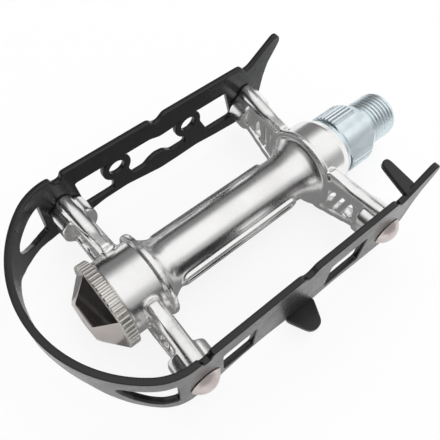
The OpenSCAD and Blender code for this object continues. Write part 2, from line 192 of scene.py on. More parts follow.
def inside(p: Point, outline: list[Point]) -> bool:
    """Tells whether a point lies in a closed outline.

    Args:
        p: The point.
        outline: The closed outline.

    Returns:
        Whether it lies inside.
    """
    hit = False
    for a, b in zip(outline, outline[1:] + outline[:1]):
        if (a[1] > p[1]) != (b[1] > p[1]) and p[0] < (b[0] - a[0]) * (p[1] - a[1]) / (b[1] - a[1]) + a[0]:
            hit = not hit
    return hit


def drawn_in(outline: list[Point], depth: float) -> list[Point]:
    """Moves a closed outline to its left by a depth: inwards when it runs counter-clockwise.

    Args:
        outline: The closed outline.
        depth: How far each point moves.

    Returns:
        The moved outline.
    """
    done = []
    for i, p in enumerate(outline):
        way = Vector(outline[(i + 1) % len(outline)]) - Vector(outline[i - 1])
        way.normalize()
        done.append((p[0] - way.y * depth, p[1] + way.x * depth))
    return done


# Meshes


def piece(name: str, mesh: bpy.types.Mesh) -> bpy.types.Object:
    """Puts a mesh into the scene as an object at the origin.

    Args:
        name: Name of the piece.
        mesh: Its mesh.

    Returns:
        The piece.
    """
    made = bpy.data.objects.new(name, mesh)
    bpy.context.scene.collection.objects.link(made)
    return made


def applied(source: bpy.types.Object, name: str) -> bpy.types.Object:
    """Turns an object with modifiers into a plain mesh piece.

    Args:
        source: The object whose evaluated shape is wanted; it is removed.
        name: Name of the new piece.

    Returns:
        The new piece, without modifiers.
    """
    bpy.context.view_layer.update()
    graph = bpy.context.evaluated_depsgraph_get()
    mesh = bpy.data.meshes.new_from_object(source.evaluated_get(graph), depsgraph=graph)
    mesh.name = name
    bpy.data.objects.remove(source)
    return piece(name, mesh)


def from_bmesh(bm: bmesh.types.BMesh, name: str, smooth_angle: float = 35.0) -> bpy.types.Object:
    """Makes a piece from a bmesh, with smooth faces and sharp edges where it turns hard.

    Args:
        bm: The bmesh; it is used up.
        name: Name of the piece.
        smooth_angle: Edges that turn by more than this, in degrees, stay sharp.

    Returns:
        The piece.
    """
    bmesh.ops.recalc_face_normals(bm, faces=bm.faces)
    limit = math.radians(smooth_angle)
    for face in bm.faces:
        face.smooth = True
    for edge in bm.edges:
        if len(edge.link_faces) == 2 and edge.calc_face_angle(0.0) > limit:
            edge.smooth = False
    mesh = bpy.data.meshes.new(name)
    bm.to_mesh(mesh)
    bm.free()
    return piece(name, mesh)


def turns_of(count: int, first: float = 0.0) -> list[float]:
    """Gives evenly spaced angles of a full turn in radians, from a first angle in degrees."""
    return [math.radians(first) + 2 * math.pi * i / count for i in range(count)]


def spun(bm: bmesh.types.BMesh, x: float, turns: list[float],
         radius: Callable[[float], float]) -> list[bmesh.types.BMVert]:
    """Makes a row of vertices about the spindle's axis.

    Args:
        bm: The mesh that gets them.
        x: The row's place along the axis in millimetres.
        turns: The vertices' angles in radians.
        radius: Gives the radius in millimetres at an angle.

    Returns:
        The vertices in the order of their angles.
    """
    return [bm.verts.new((x * MM, radius(a) * MM * math.cos(a), radius(a) * MM * math.sin(a))) for a in turns]


def lathe(name: str, outline: list[Point], segments: int = 96,
          smooth_angle: float = 30.0) -> bpy.types.Object:
    """Turns an outline of (radius, station) about the spindle's axis.

    Args:
        name: Name of the piece.
        outline: Closed or open outline in millimetres; radius 0 closes on the axis.
        segments: Steps round the axis.
        smooth_angle: Edges that turn harder than this, in degrees, stay sharp.

    Returns:
        The turned piece.
    """
    bm = bmesh.new()
    rings: list[list[bmesh.types.BMVert]] = []
    for r, x in outline:
        if r < 1e-6:
            rings.append([bm.verts.new((x * MM, 0, 0))])
            continue
        rings.append(spun(bm, x, turns_of(segments), lambda _, r=r: r))
    for low, high in zip(rings, rings[1:]):
        for i in range(segments):
            j = (i + 1) % segments
            corners = [low[i % len(low)], low[j % len(low)], high[j % len(high)], high[i % len(high)]]
            unique = list(dict.fromkeys(corners))
            if len(unique) > 2:
                bm.faces.new(unique)
    return from_bmesh(bm, name, smooth_angle)


def bridged(bm: bmesh.types.BMesh, rows: list[list[bmesh.types.BMVert]], ends: bool = False) -> None:
    """Joins closed rows of vertices with faces.

    Args:
        bm: The mesh that holds the vertices.
        rows: The rows in order, each with as many vertices as the next.
        ends: Whether the first and the last row are closed with a face.
    """
    for a, b in zip(rows, rows[1:]):
        for i in range(len(a)):
            j = (i + 1) % len(a)
            bm.faces.new((a[i], a[j], b[j], b[i]))
    if ends:
        bm.faces.new(rows[0])
        bm.faces.new(rows[-1])


def copy_of_node(node: str, name: str) -> bpy.types.Object:
    """Makes a welded copy of a frame node's mesh, to be refined into a piece of its own.

    Args:
        node: Name of the frame's node.
        name: Name of the copy.

    Returns:
        The copy.
    """
    bm = bmesh.new()
    bm.from_mesh(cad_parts[node].data)
    bmesh.ops.remove_doubles(bm, verts=bm.verts, dist=2e-6)
    mesh = bpy.data.meshes.new(name)
    bm.to_mesh(mesh)
    bm.free()
    return piece(name, mesh)


def with_soft_edges(source: bpy.types.Object, name: str, width: float, angle: float = 28.0,
                    segments: int = 2) -> bpy.types.Object:
    """Gives a piece's hard edges a small round.

    Args:
        source: The piece; it is used up.
        name: Name of the new piece.
        width: Width of the round in millimetres.
        angle: Edges that turn harder than this, in degrees, are rounded.
        segments: Steps across the round.

    Returns:
        The new piece.
    """
    bevel = source.modifiers.new("soft_edges", "BEVEL")
    bevel.limit_method = "ANGLE"
    bevel.angle_limit = math.radians(angle)
    bevel.width = width * MM
    bevel.segments = segments
    bevel.use_clamp_overlap = True
    bevel.harden_normals = False
    made = applied(source, name)
    bm = bmesh.new()
    bm.from_mesh(made.data)
    bpy.data.objects.remove(made)
    return from_bmesh(bm, name, smooth_angle=40.0)


def dress(made: bpy.types.Object, material: bpy.types.Material, body: str, slot: str,
          *nodes: str) -> bpy.types.Object:
    """Gives a piece its material and its body, and hides the frame nodes that it stands for.

    Args:
        made: The piece.
        material: Its material.
        body: The frame body that it rides on.
        slot: Not used.
        *nodes: The frame nodes that it replaces.

    Returns:
        The same piece.
    """
    made.data.materials.clear()
    made.data.materials.append(material)
    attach(made, body)
    if nodes:
        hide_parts(*nodes)
    LOG.info("%s: %d faces on %s", made.name, len(made.data.polygons), body)
    return made


def dress_node(node: str, material: bpy.types.Material) -> None:
    """Gives a frame node that stays its procedural material.

    Args:
        node: Name of the frame's node.
        material: Its finish.
    """
    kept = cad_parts[node]
    if kept.material_slots:
        for held in kept.material_slots:
            held.material = material
    else:
        kept.data.materials.append(material)
    LOG.info("%s: kept from the frame", node)


# Finishes


def emptied(holder: bpy.types.Material | bpy.types.World) -> bpy.types.NodeTree:
    """Turns a material's or a world's nodes on and gives their tree, emptied.

    Args:
        holder: The material or the world.

    Returns:
        Its node tree.
    """
    holder.use_nodes = True
    holder.node_tree.nodes.clear()
    return holder.node_tree


def socket(tree: bpy.types.NodeTree, name: str, way: str, kind: str, value: object = None) -> None:
    """Adds a named socket to a node group's interface.

    Args:
        tree: The group's tree.
        name: The socket's name.
        way: INPUT or OUTPUT.
        kind: The socket's type.
        value: Its default, where it has one.
    """
    made = tree.interface.new_socket(name=name, in_out=way, socket_type=kind)
    if value is not None:
        made.default_value = value


def fed(tree: bpy.types.NodeTree, node: bpy.types.Node, given: dict[str | int, object]) -> bpy.types.Node:
    """Gives a node its inputs.

    Args:
        tree: The node's tree.
        node: The node.
        given: Its inputs by name or number, each a socket to link or a value to set.

    Returns:
        The same node.
    """
    for place, value in given.items():
        if isinstance(value, bpy.types.NodeSocket):
            tree.links.new(value, node.inputs[place])
        else:
            node.inputs[place].default_value = value
    return node


def added(tree: bpy.types.NodeTree, kind: str, given: dict[str | int, object] | None = None,
          **settings: object) -> bpy.types.Node:
    """Adds a node.

    Args:
        tree: The tree it goes into.
        kind: Its type.
        given: Its inputs, as in fed.
        **settings: Its own properties.

    Returns:
        The node.
    """
    made = tree.nodes.new(kind)
    for name, value in settings.items():
        setattr(made, name, value)
    return fed(tree, made, given or {})


def maths(tree: bpy.types.NodeTree, operation: str, *given: object) -> bpy.types.NodeSocket:
    """Adds a math node with its inputs in order and gives its output."""
    return added(tree, "ShaderNodeMath", dict(enumerate(given)), operation=operation).outputs[0]


def surface_group() -> bpy.types.NodeTree:
    """Builds the shared effect that tints a surface and gives it fine marks.

    Returns:
        A group with Colour, Roughness and Height outputs.
    """
    name = "worked_surface"
    if name in bpy.data.node_groups:
        return bpy.data.node_groups[name]
    tree = bpy.data.node_groups.new(name, "ShaderNodeTree")
    for label, kind, value in (("Colour", "Color", (0.8, 0.8, 0.8, 1)),
                               ("Stain", "Color", (0.5, 0.5, 0.5, 1)), ("Stain Amount", "Float", 0.2),
                               ("Cloud Scale", "Float", 90.0),
                               ("Grain Stretch", "Vector", (1, 1, 1)), ("Grain Scale", "Float", 1500.0),
                               ("Rough Low", "Float", 0.2), ("Rough High", "Float", 0.35)):
        socket(tree, label, "INPUT", f"NodeSocket{kind}", value)
    for label, kind in (("Colour", "Color"), ("Roughness", "Float"), ("Height", "Float")):
        socket(tree, label, "OUTPUT", f"NodeSocket{kind}")
    given = added(tree, "NodeGroupInput").outputs
    place = added(tree, "ShaderNodeTexCoord").outputs["Object"]
    clouds = added(tree, "ShaderNodeTexNoise", {"Detail": 5, "Roughness": 0.6, "Vector": place,
                                                "Scale": given["Cloud Scale"]}).outputs["Fac"]
    patch = added(tree, "ShaderNodeMapRange", {"From Min": 0.42, "From Max": 0.72,
                                               "Value": clouds}).outputs["Result"]
    stretched = added(tree, "ShaderNodeVectorMath", {0: place, 1: given["Grain Stretch"]}, operation="MULTIPLY")
    grain = added(tree, "ShaderNodeTexNoise", {"Detail": 3, "Vector": stretched.outputs["Vector"],
                                               "Scale": given["Grain Scale"]}).outputs["Fac"]
    tint = added(tree, "ShaderNodeMix", data_type="RGBA")
    fed(tree, tint, {"Factor": maths(tree, "MULTIPLY", patch, given["Stain Amount"]), "A": given["Colour"],
                     "B": given["Stain"]})
    rough = added(tree, "ShaderNodeMapRange", {"From Min": 0.15, "From Max": 1.2, "To Min": given["Rough Low"],
                                               "To Max": given["Rough High"],
                                               "Value": maths(tree, "MULTIPLY_ADD", grain, 0.55, patch)})
    added(tree, "NodeGroupOutput", {"Colour": tint.outputs["Result"], "Roughness": rough.outputs["Result"],
                                    "Height": grain})
    return tree


@dataclass(frozen=True)
class Finish:
    """A metal finish: its colour, its stain, its gloss and its fine marks."""

    name: str
    colour: Colour
    stain: Colour
    stain_amount: float
    rough_low: float
    rough_high: float
    metallic: float = 1.0
    cloud_scale: float = 90.0
    grain: Grain = Grain.EVEN
    grain_scale: float = 1500.0
    grain_depth: float = 0.05
    coat: float = 0.0
    coat_rough: float = 0.1
    shine: float = 0.5

    def stretch(self) -> tuple[float, float, float]:
        """Gives the grain's stretch along each axis."""
        return (6.0, 0.25, 0.25) if self.grain is Grain.ROUND_SPINDLE else (1.0, 1.0, 1.0)

    def build(self) -> bpy.types.Material:
        """Builds the material.

        Returns:
            The material, made once for each finish.
        """
        if self.name in BUILT:
            return BUILT[self.name]
        made = BUILT[self.name] = bpy.data.materials.new(self.name)
        made.use_nodes = True
        tree = made.node_tree
        surface = added(tree, "ShaderNodeGroup", node_tree=surface_group())
        fed(tree, surface, {
            "Colour": (*self.colour, 1), "Stain": (*self.stain, 1), "Stain Amount": self.stain_amount,
            "Cloud Scale": self.cloud_scale, "Grain Stretch": self.stretch(), "Grain Scale": self.grain_scale,
            "Rough Low": self.rough_low, "Rough High": self.rough_high})
        marks = surface.outputs
        bump = added(tree, "ShaderNodeBump", {"Strength": self.grain_depth, "Distance": 0.0001,
                                              "Height": marks["Height"]})
        fed(tree, tree.nodes["Principled BSDF"], {
            "Metallic": self.metallic, "Coat Weight": self.coat, "Coat Roughness": self.coat_rough,
            "Specular IOR Level": self.shine, "Base Color": marks["Colour"], "Roughness": marks["Roughness"],
            "Normal": bump.outputs["Normal"]})
        return made


POLISHED = Finish("polished_casting", (0.92, 0.915, 0.91), (0.74, 0.72, 0.71), 0.3, 0.2, 0.32,
                  cloud_scale=70, grain_depth=0.03)
MIRROR = Finish("polished_cap", (0.56, 0.51, 0.49), (0.40, 0.36, 0.35), 0.3, 0.1, 0.17, cloud_scale=120,
                grain_depth=0.03)
BLACK = Finish("black_anodising", (0.004, 0.004, 0.0045), (0.013, 0.012, 0.013), 0.5, 0.24, 0.38,
               metallic=0.0, cloud_scale=140, grain_scale=2600, grain_depth=0.12, coat=0.35, coat_rough=0.2,
               shine=0.36)
SATIN = Finish("satin_ring", (0.72, 0.70, 0.67), (0.52, 0.50, 0.48), 0.3, 0.22, 0.36,
               grain=Grain.ROUND_SPINDLE, grain_depth=0.1)
ZINC = Finish("zinc_plate", (0.82, 0.91, 0.95), (0.62, 0.73, 0.78), 0.4, 0.3, 0.46, cloud_scale=260,
              grain_depth=0.12)
RIVET = Finish("rivet_head", (0.68, 0.61, 0.59), (0.40, 0.34, 0.33), 0.5, 0.26, 0.44, cloud_scale=320,
               grain_depth=0.12)
GROUND = Finish("ground_bearing_steel", (0.66, 0.66, 0.67), (0.48, 0.48, 0.5), 0.3, 0.08, 0.18,
                grain=Grain.ROUND_SPINDLE, grain_depth=0.05)


# Repeating parts


def ring_group() -> bpy.types.NodeTree:
    """Builds the geometry tree that sets copies of a shape in a ring about the spindle.

    Returns:
        A tree with the inputs Shape, Count, Radius, Station and Finish.
    """
    name = "ring_of_copies"
    if name in bpy.data.node_groups:
        return bpy.data.node_groups[name]
    tree = bpy.data.node_groups.new(name, "GeometryNodeTree")
    inputs = (("Geometry", "Geometry", None), ("Shape", "Object", None), ("Count", "Int", 12),
              ("Radius", "Float", 0.01), ("Station", "Float", 0.0), ("Finish", "Material", None))
    for label, kind, value in inputs:
        socket(tree, label, "INPUT", f"NodeSocket{kind}", value)
    socket(tree, "Geometry", "OUTPUT", "NodeSocketGeometry")
    given = added(tree, "NodeGroupInput").outputs
    share = maths(tree, "DIVIDE", added(tree, "GeometryNodeInputIndex").outputs[0], given["Count"])
    turn = maths(tree, "MULTIPLY", share, 2 * math.pi)
    across = maths(tree, "MULTIPLY", maths(tree, "COSINE", turn), given["Radius"])
    high = maths(tree, "MULTIPLY", maths(tree, "SINE", turn), given["Radius"])
    place = added(tree, "ShaderNodeCombineXYZ", {"X": given["Station"], "Y": across, "Z": high})
    points = added(tree, "GeometryNodePoints", {"Count": given["Count"], "Position": place.outputs["Vector"]})
    rolled = added(tree, "ShaderNodeCombineXYZ", {"X": turn})
    kept = added(tree, "GeometryNodeStoreNamedAttribute", {
        "Name": "roll", "Geometry": points.outputs["Points"], "Value": rolled.outputs["Vector"]},
        data_type="FLOAT_VECTOR", domain="POINT")
    roll = added(tree, "GeometryNodeInputNamedAttribute", {"Name": "roll"}, data_type="FLOAT_VECTOR")
    shape = added(tree, "GeometryNodeObjectInfo", {"Object": given["Shape"]})
    copies = added(tree, "GeometryNodeInstanceOnPoints", {
        "Points": kept.outputs["Geometry"], "Instance": shape.outputs["Geometry"],
        "Rotation": roll.outputs["Attribute"]})
    real = added(tree, "GeometryNodeRealizeInstances", {"Geometry": copies.outputs["Instances"]})
    finish = added(tree, "GeometryNodeSetMaterial", {"Geometry": real.outputs["Geometry"],
                                                     "Material": given["Finish"]})
    added(tree, "NodeGroupOutput", {"Geometry": finish.outputs["Geometry"]})
    return tree


@dataclass
class RingOfCopies:
    """Copies of one small shape set round the spindle."""

    name: str
    count: int
    radius: float
    station: float

    def build(self, shape: bpy.types.Object, material: bpy.types.Material) -> bpy.types.Object:
        """Sets the copies out and makes them one plain mesh.

        Args:
            shape: The shape, drawn at the origin and standing towards +Y; it is used up.
            material: Finish of the copies.

        Returns:
            The ring as one piece.
        """
        holder = piece(self.name + "_holder", bpy.data.meshes.new(self.name + "_holder"))
        tree = ring_group()
        modifier = holder.modifiers.new("ring", "NODES")
        modifier.node_group = tree
        values = {"Shape": shape, "Count": self.count, "Radius": self.radius * MM,
                  "Station": self.station * MM, "Finish": material}
        for item in tree.interface.items_tree:
            if item.item_type == "SOCKET" and item.in_out == "INPUT" and item.name in values:
                modifier[item.identifier] = values[item.name]
        made = applied(holder, self.name)
        bpy.data.objects.remove(shape)
        for face in made.data.polygons:
            face.use_smooth = True
        return made


def tooth(length: float, width: float, height: float, root: float,
          round_to: float = 0.35) -> bpy.types.Object:
    """Makes one serration: a small bar along the spindle with a rounded crown.

    Args:
        length: Length along the spindle.
        width: Width round the spindle at the crown.
        height: Height of the crown over the ring's radius.
        root: Depth that the bar goes below the ring's radius.
        round_to: Share of the width that is rounded at each side.

    Returns:
        The bar, standing towards +Y.
    """
    half = width / 2
    across = [(-half, -root), (-half, height * 0.55), (-half * (1 - round_to), height * 0.93), (0.0, height),
              (half * (1 - round_to), height * 0.93), (half, height * 0.55), (half, -root)]
    along = [(-length / 2, 0.55), (-length / 2 + 0.12, 0.9), (-length / 2 + 0.3, 1.0),
             (length / 2 - 0.3, 1.0), (length / 2 - 0.12, 0.9), (length / 2, 0.55)]
    bm = bmesh.new()
    rows = [[bm.verts.new((x * MM, (y if y < 0 else y * lift) * MM, z * MM)) for z, y in across]
            for x, lift in along]
    for a, b in zip(rows, rows[1:]):
        for i in range(len(across) - 1):
            bm.faces.new((a[i], a[i + 1], b[i + 1], b[i]))
    for row in (rows[0], rows[-1]):
        bm.faces.new(row)
    return from_bmesh(bm, "tooth", smooth_angle=50.0)


@dataclass
class Sheet:
    """A flat sheet with openings and rounded edges, which can be laid on any surface."""

    outline: list[Point]
    openings: list[list[Point]] = field(default_factory=list)
    thickness: float = 1.8
    soft_edge: float = 0.34
    steps: int = 3
    grid: float = 1.3
    nearest: float = 0.55
    rim: float = 0.12

    def levels(self) -> list[tuple[float, float]]:
        """Gives how far in and how high each ring of the edge lies.

        Returns:
            Each ring as its distance in from the edge and its height.
        """
        half, r = self.thickness / 2, self.soft_edge
        turns = [math.pi / 2 * k / self.steps for k in range(self.steps + 1)]
        low = [(r * (1 - math.sin(a)), -half + r * (1 - math.cos(a))) for a in turns]
        high = [(d, -h) for d, h in reversed(low)]
        return [(r + self.rim, -half), *low, *high, (r + self.rim, half)]

    def fill(self, loops: list[list[Point]]) -> tuple[list[Point], list[tuple[int, int, int]]]:
        """Fills the space between loops with even triangles.

        Args:
            loops: The outer loop and the openings.

        Returns:
            All points, the loops' own first, and the triangles.
        """
        points = [p for loop in loops for p in loop]
        edges, start = [], 0
        for loop in loops:
            edges += [(start + i, start + (i + 1) % len(loop)) for i in range(len(loop))]
            start += len(loop)
        near: dict[tuple[int, int], list[Point]] = {}
        for p in points:
            near.setdefault((int(p[0] // self.grid), int(p[1] // self.grid)), []).append(p)
        low = [min(p[k] for p in loops[0]) for k in (0, 1)]
        high = [max(p[k] for p in loops[0]) for k in (0, 1)]
        for i in range(int((high[0] - low[0]) / self.grid) + 1):
            for j in range(int((high[1] - low[1]) / self.grid) + 1):
                p = (low[0] + (i + 0.5 * (j % 2)) * self.grid, low[1] + j * self.grid)
                cell = (int(p[0] // self.grid), int(p[1] // self.grid))
                close = [q for a in (-1, 0, 1) for b in (-1, 0, 1)
                         for q in near.get((cell[0] + a, cell[1] + b), [])]
                if any(math.dist(p, q) < self.grid * self.nearest for q in close):
                    continue
                if inside(p, loops[0]) and not any(inside(p, hole) for hole in loops[1:]):
                    points.append(p)
        made = delaunay_2d_cdt([Vector(p) for p in points], edges, [], 0, 1e-6)
        where, faces = made[0], made[2]
        kept = []
        for face in faces:
            middle = sum((where[k] for k in face), Vector((0, 0))) / len(face)
            if inside(tuple(middle), loops[0]) and not any(inside(tuple(middle), hole) for hole in loops[1:]):
                kept.append(tuple(face))
        return [tuple(p) for p in where], kept

    def build(self, lay: Callable[[float, float, float], Vector]) -> bmesh.types.BMesh:
        """Builds the sheet.

        Args:
            lay: Turns a flat point and a height above the sheet's middle into a place in millimetres.

        Returns:
            The laid sheet in metres.
        """
        loops = [self.outline if area(self.outline) > 0 else self.outline[::-1]]
        loops += [hole if area(hole) < 0 else hole[::-1] for hole in self.openings]
        bm, levels = bmesh.new(), self.levels()
        points, faces = self.fill([drawn_in(loop, levels[0][0]) for loop in loops])
        caps = [[bm.verts.new(lay(u, v, h) * MM) for u, v in points] for h in (levels[0][1], levels[-1][1])]
        for cap, order in zip(caps, (-1, 1)):
            for face in faces:
                bm.faces.new([cap[k] for k in face][::order])
        start = 0
        for loop in loops:
            rows = [caps[0][start:start + len(loop)]]
            for depth, h in levels[1:-1]:
                rows.append([bm.verts.new(lay(u, v, h) * MM) for u, v in drawn_in(loop, depth)])
            rows.append(caps[1][start:start + len(loop)])
            bridged(bm, rows)
            start += len(loop)
        return bm


# The cage


@dataclass
class LoopPlan:
    """The cage strip's path in plan, by the middle of its thickness."""

    half_width: float = 31.0
    thickness: float = 1.8
    corner_r: float = 16.0
    loop_r: float = 35.0
    corner_x: float = 4.7
    corner_y: float = field(init=False)
    loop_x: float = field(init=False)
    join: float = field(init=False)

    def __post_init__(self) -> None:
        """Works out where the arcs meet."""
        self.corner_y = self.half_width - self.corner_r
        self.loop_x = self.corner_x + math.sqrt((self.loop_r - self.corner_r) ** 2 - self.corner_y ** 2)
        self.join = math.atan2(self.corner_y, self.corner_x - self.loop_x)

    def at(self, run: float) -> tuple[Vector, Vector]:
        """Finds the point and the outward normal at a distance along the strip.

        Args:
            run: Distance from the loop's end, positive to the front plate.

        Returns:
            The point on the middle line and the outward normal, both in plan.
        """
        half = self.thickness / 2
        way, side = abs(run), 1.0 if run >= 0 else -1.0
        first = (self.loop_r - half) * (math.pi - self.join)
        second = (self.corner_r - half) * (self.join - math.pi / 2)
        if way <= first:
            angle = math.pi - way / (self.loop_r - half)
            centre, r = Vector((self.loop_x, 0.0)), self.loop_r - half
        elif way <= first + second:
            angle = self.join - (way - first) / (self.corner_r - half)
            centre, r = Vector((self.corner_x, self.corner_y)), self.corner_r - half
        else:
            out = Vector((0.0, side))
            return Vector((self.corner_x + way - first - second, side * (self.half_width - half))), out
        out = Vector((math.cos(angle), math.sin(angle)))
        here = centre + out * r
        return Vector((here.x, here.y * side)), Vector((out.x, out.y * side))

    def lay(self, run: float, z: float, h: float) -> Vector:
        """Lays a point of the flat strip, with its height above the middle, on the plan.

        Args:
            run: Distance along the loop.
            z: Height across the strip.
            h: Height above the strip's middle.

        Returns:
            The point.
        """
        here, out = self.at(run)
        put = here + out * h
        return Vector((put.x - SHOULDER, put.y, z))

    def run_at(self, x: float) -> float:
        """Finds the distance along the front half at a station.

        Args:
            x: The station.

        Returns:
            The distance along the loop.
        """
        low, high = 0.0, 200.0
        for _ in range(44):
            mid = (low + high) / 2
            if self.at(mid)[0].x < x:
                low = mid
            else:
                high = mid
        return (low + high) / 2


@dataclass
class Cage:
    """The black strip: its outline by station and height, windows, tab and finger."""

    plan: LoopPlan = field(default_factory=LoopPlan)
    top: float = 16.4
    ring_r: float = 4.7
    hole_r: float = 2.5
    hole_z: float = 6.3
    hole_x: tuple[float, float] = (24.6, 49.8)
    rivet_x: tuple[float, float] = (7.1, 71.8)
    rivet_z: float = 1.0
    bottom: list[Point] = field(default_factory=lambda: [
        (-18.6, 9.6), (-16.6, 9.2), (-14, 7), (-12, 3.5), (-9, 0), (-6, -2.5), (-3, -4.8), (0, -6.4),
        (3, -6.7), (10, -6.3), (14, -5.3), (19, -4.2), (27, -4), (33, -5), (39, -6), (46, -5.8), (53, -5.4),
        (60, -6.2)])
    horn: list[Point] = field(default_factory=lambda: [
        (71, -7), (72.8, -7.2), (75.5, -5.4), (77.6, -2.2), (78.8, 2), (79.6, 8), (80.9, 12.6), (83, 16),
        (84.5, 18.6), (84.5, 20.2), (83.6, 21.3), (82.3, 21.4), (73.5, 14.7), (71.7, 14.2)])
    edge_top: list[Point] = field(default_factory=lambda: [
        (70.2, 16.1), (69.3, 16.4), (41.6, 16.4), (40.4, 15.2), (39.4, 14.6), (38.2, 14.6), (36.6, 16.4),
        (9, 16.4), (8.4, 14.4), (6.2, 14.4), (5.8, 16.4)])
    slot: list[Point] = field(default_factory=lambda: [
        (0.2, 10.8), (0.2, -1.5), (-3, -0.9), (-5.6, 0.8), (-8, 3.6), (-9.8, 7), (-10.4, 9.5), (-9.6, 10.8)])
    front_windows: list[list[Point]] = field(default_factory=lambda: [
        [(11.6, 10), (13, -2), (22.6, -2), (23, 10)],
        [(26, 9.6), (36, 9.6), (39.5, 8.5), (43, 8.7), (49, 9.6), (48.4, -1.1), (43.4, -1.1), (40.8, 1),
         (38, 1.5), (35.5, 0.6), (33.7, -0.8), (29.6, -0.8)],
        [(52, 9.8), (64.2, 9.8), (67, -2), (57.5, -2)]])
    rear_windows: list[list[Point]] = field(default_factory=lambda: [
        [(12.3, 9), (13, -2.4), (22.5, -2.4), (22.5, 9)], [(47.9, 9), (47.9, -2.4), (61, -2.4), (61, 9)]])
    tab_x: float = 39.9
    tab_w: float = 11.0
    tab_tip: float = 3.8
    tab_reach: float = 6.7
    tab_z: float = -6.0
    finger_x: float = 75.9
    finger_root: float = 4.6
    finger_tip: float = 2.8
    finger_lean: float = 1.8
    finger_len: float = 10.2
    finger_z: float = 16.4
    coarse: float = 1.2
    spacing: float = 0.42
    strip_spacing: float = 0.5
    softened: int = 3

    def unrolled(self, outline: list[Point], side: Side) -> list[Point]:
        """Lays an outline of station and height out along the flat strip, with soft corners."""
        flat = [(self.plan.run_at(x) * side.value, z) for x, z in dense(outline, self.coarse)]
        return evened(flat, self.spacing, self.softened)

    def strip_outline(self) -> list[Point]:
        """Gives the whole strip's outline, laid flat.

        Returns:
            The outline of run and height.
        """
        half = dense(self.bottom + self.horn + self.edge_top, self.coarse, closed=False)
        front = [(self.plan.run_at(x), z) for x, z in half]
        low, high = [(0.0, self.bottom[0][1])], [(0.0, self.top)]
        rear = [(-u, v) for u, v in reversed(front)]
        return evened(low + front + high + rear, self.strip_spacing, self.softened)

    def openings(self) -> list[list[Point]]:
        """Gives every opening's outline, laid flat.

        Returns:
            The outlines of run and height.
        """
        rings = [(x, self.hole_z) for x in self.hole_x]
        done = [self.unrolled(self.slot, side) for side in Side]
        done += [self.unrolled(clear_of_rings(window, rings, self.ring_r), Side.FRONT)
                 for window in self.front_windows]
        done += [self.unrolled(window, Side.REAR) for window in self.rear_windows]
        hole = arc(0, self.hole_z, self.hole_r, 0, 360, 48)[:-1]
        done += [[(self.plan.run_at(x) + u, v) for u, v in hole] for x in self.hole_x]
        return done

    def tongue(self, outline: list[Point], z: float) -> bmesh.types.BMesh:
        """Makes a level tongue of the strip from an outline of station and depth, with its top at z.

        Args:
            outline: Its outline.
            z: Height of its top.

        Returns:
            Its bmesh.
        """
        middle = z - self.plan.thickness / 2
        sheet = Sheet(evened(dense(outline, 0.4), 0.35, 6), thickness=self.plan.thickness)
        return sheet.build(lambda u, v, h: Vector((u - SHOULDER, v, middle + h)))

    def tab(self) -> bmesh.types.BMesh:
        """Makes the flip tab under the rear plate.

        Returns:
            The tab's bmesh.
        """
        y, tip = -self.plan.half_width + self.plan.thickness / 2, -self.plan.half_width - self.tab_reach
        outline = [(self.tab_x - self.tab_w / 2, y), (self.tab_x - self.tab_tip / 2, tip),
                   (self.tab_x + self.tab_tip / 2, tip), (self.tab_x + self.tab_w / 2, y)]
        return self.tongue(rounded(outline, radius=1.6, steps=6), self.tab_z)

    def finger(self) -> bmesh.types.BMesh:
        """Makes the strap finger at the rear plate's horn.

        Returns:
            The finger's bmesh.
        """
        y, tip = -self.plan.half_width + 0.5, -self.plan.half_width + self.plan.thickness + self.finger_len
        end = self.finger_x + self.finger_lean
        outline = [(self.finger_x + self.finger_root / 2, y), (end + self.finger_tip / 2, tip),
                   (end - self.finger_tip / 2, tip), (self.finger_x - self.finger_root / 2, y)]
        return self.tongue(rounded(outline, radius=1.3, steps=6), self.finger_z)

    def build(self) -> bpy.types.Object:
        """Builds the cage and dresses it.

        Returns:
            The cage.
        """
        strip = Sheet(self.strip_outline(), self.openings(), self.plan.thickness)
        bm = strip.build(self.plan.lay)
        for part in (self.tab(), self.finger()):
            spare = bpy.data.meshes.new("spare")
            part.to_mesh(spare)
            part.free()
            bm.from_mesh(spare)
            bpy.data.meshes.remove(spare)
        made = from_bmesh(bm, "cage_strip", smooth_angle=44.0)
        return dress(made, BLACK.build(), "platform", "black_anodised", "cage")


# The body


@dataclass
class Casting:
    """The polished casting, with the soft inner corners of a real casting."""

    voxel: float = 0.3
    rounds: int = 12
    most_triangles: int = 186000

    def build(self) -> bpy.types.Object:
        """Builds the casting from the frame's solid and dresses it.

        Returns:
            The casting.
        """
        source = copy_of_node("pedal_body", "casting_source")
        remesh = source.modifiers.new("even_mesh", "REMESH")
        remesh.mode = "VOXEL"
        remesh.voxel_size = self.voxel * MM
        remesh.use_smooth_shade = True
        smooth = source.modifiers.new("polish", "SMOOTH")
        smooth.factor = 0.5
        smooth.iterations = self.rounds
        made = applied(source, "casting_fine")
        thin = made.modifiers.new("thin_out", "DECIMATE")
        thin.ratio = min(1.0, self.most_triangles / (2 * len(made.data.polygons)))
        made = applied(made, "body_casting")
        for face in made.data.polygons:
            face.use_smooth = True
        return dress(made, POLISHED.build(), "platform", "polished_aluminium", "pedal_body")


# Small pieces


